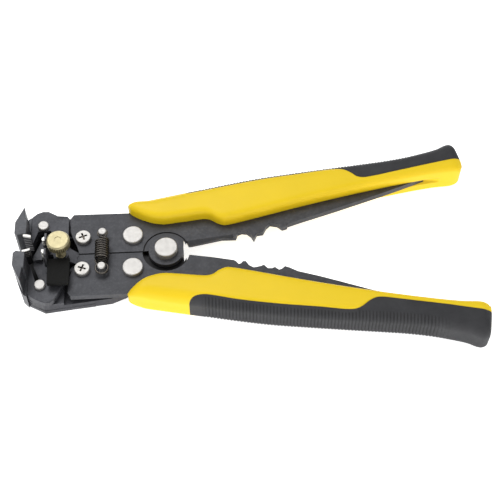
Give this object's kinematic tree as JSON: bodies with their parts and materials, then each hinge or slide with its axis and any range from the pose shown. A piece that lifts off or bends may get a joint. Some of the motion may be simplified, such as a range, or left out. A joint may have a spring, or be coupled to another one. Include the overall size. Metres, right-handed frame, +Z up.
{
  "type": "wire stripper",
  "caption": "Self-adjusting wire stripper with blackened steel head, rocking gripper jaws, brass adjuster knob, wire stop, crimping notches and yellow and black grips.",
  "frame": {"origin": "bottom centre of the whole tool's box, on the plane it rests on when it lies flat", "axes": "+X along the tool from the jaws towards the handle ends, +Y across the tool in the plane the handles swing in, +Z up through the tool's thickness"},
  "size_m": [0.205, 0.1052, 0.0205],
  "materials": {
    "blackened_steel": "dark blackened finish, satin",
    "arm_steel": "dark blackened finish, satin",
    "cheek_steel": "dark blackened finish, satin",
    "block_steel": "dark blackened finish, ground faces",
    "tooth_steel": "ground bright steel",
    "bright_steel": "bright zinc plate",
    "spring_steel": "oiled spring wire",
    "brass": "turned brass, pale",
    "yellow_plastic": "moulded, semi-gloss",
    "black_rubber": "moulded, satin",
    "stop_plastic": "moulded, matte"
  },
  "bodies": {
    "lower_lever": {"lower_lever": "blackened_steel", "lower_grip": "yellow_plastic", "lower_grip_inlay": "black_rubber", "lower_pivot_rivet": "bright_steel", "lower_screw": "bright_steel", "lower_spring_pin": "bright_steel", "return_spring": "spring_steel"},
    "upper_lever": {"upper_lever": "blackened_steel", "upper_grip": "yellow_plastic", "upper_grip_inlay": "black_rubber", "upper_pivot_rivet": "bright_steel", "upper_screw": "bright_steel", "upper_spring_pin": "bright_steel"},
    "spine": {"main_rivet": "bright_steel", "pivot_spacer": "arm_steel", "spine_plate": "arm_steel", "fulcrum_studs": "bright_steel"},
    "upper_gripper": {"upper_arm": "arm_steel", "upper_cheek": "cheek_steel", "upper_base_cheek": "arm_steel", "upper_jaw_block": "block_steel", "upper_grip_insert": "tooth_steel", "upper_cheek_rivet": "bright_steel"},
    "lower_gripper": {"lower_arm": "arm_steel", "lower_cheek": "cheek_steel", "lower_base_cheek": "arm_steel", "lower_jaw_block": "block_steel", "lower_grip_insert": "tooth_steel", "lower_cheek_rivet": "bright_steel"},
    "pull_bar": {"pull_bar": "arm_steel", "jaw_pin": "bright_steel"},
    "upper_stripper": {"upper_strip_jaw": "cheek_steel", "upper_blades": "tooth_steel", "knob_spring": "brass"},
    "lower_stripper": {"lower_strip_jaw": "cheek_steel", "lower_blades": "tooth_steel"},
    "adjuster": {"adjust_knob": "brass", "adjust_screw": "brass"},
    "wire_stop": {"wire_stop": "stop_plastic"}
  },
  "joints": [
    {"name": "squeeze", "type": "hinge", "parent": "lower_lever", "child": "upper_lever", "pos_m": [-0.0365, 0, 0.008], "axis": [0, 0, 1], "range_deg": [-22, 0], "deforming": ["return_spring"]},
    {"name": "spine_follow", "type": "hinge", "parent": "lower_lever", "child": "spine", "pos_m": [-0.0365, 0, 0.008], "axis": [0, 0, 1], "range_deg": [-11, 0]},
    {"name": "upper_arm_pivot", "type": "hinge", "parent": "upper_lever", "child": "upper_gripper", "pos_m": [-0.0513, 0.0086, 0.008], "axis": [0, 0, 1], "range_deg": [0, 18]},
    {"name": "lower_arm_pivot", "type": "hinge", "parent": "lower_lever", "child": "lower_gripper", "pos_m": [-0.0513, -0.0086, 0.008], "axis": [0, 0, 1], "range_deg": [-18, 0]},
    {"name": "pull_slide", "type": "slide", "parent": "spine", "child": "pull_bar", "axis": [1, 0, 0], "range_m": [0, 0.0065]},
    {"name": "upper_strip_pivot", "type": "hinge", "parent": "pull_bar", "child": "upper_stripper", "pos_m": [-0.075, 0, 0.008], "axis": [0, 0, 1], "range_deg": [0, 8.5]},
    {"name": "lower_strip_pivot", "type": "hinge", "parent": "pull_bar", "child": "lower_stripper", "pos_m": [-0.075, 0, 0.008], "axis": [0, 0, 1], "range_deg": [-8.5, 0]},
    {"name": "knob_turn", "type": "hinge", "parent": "upper_stripper", "child": "adjuster", "pos_m": [-0.0834, 0.0011, 0.008], "axis": [0, 0, 1], "range_deg": [-180, 180]},
    {"name": "stop_slide", "type": "slide", "parent": "lower_stripper", "child": "wire_stop", "axis": [1, 0, 0], "range_m": [0, 0.003]}
  ],
  "couplings": [
    {"joint": "spine_follow", "follows": "squeeze", "ratio": 0.5},
    {"joint": "upper_arm_pivot", "follows": "squeeze", "ratio": -0.818},
    {"joint": "lower_arm_pivot", "follows": "squeeze", "ratio": 0.818},
    {"joint": "pull_slide", "follows": "squeeze", "m_per_rad": -0.01692},
    {"joint": "upper_strip_pivot", "follows": "squeeze", "ratio": -0.386},
    {"joint": "lower_strip_pivot", "follows": "squeeze", "ratio": 0.386}
  ]
}
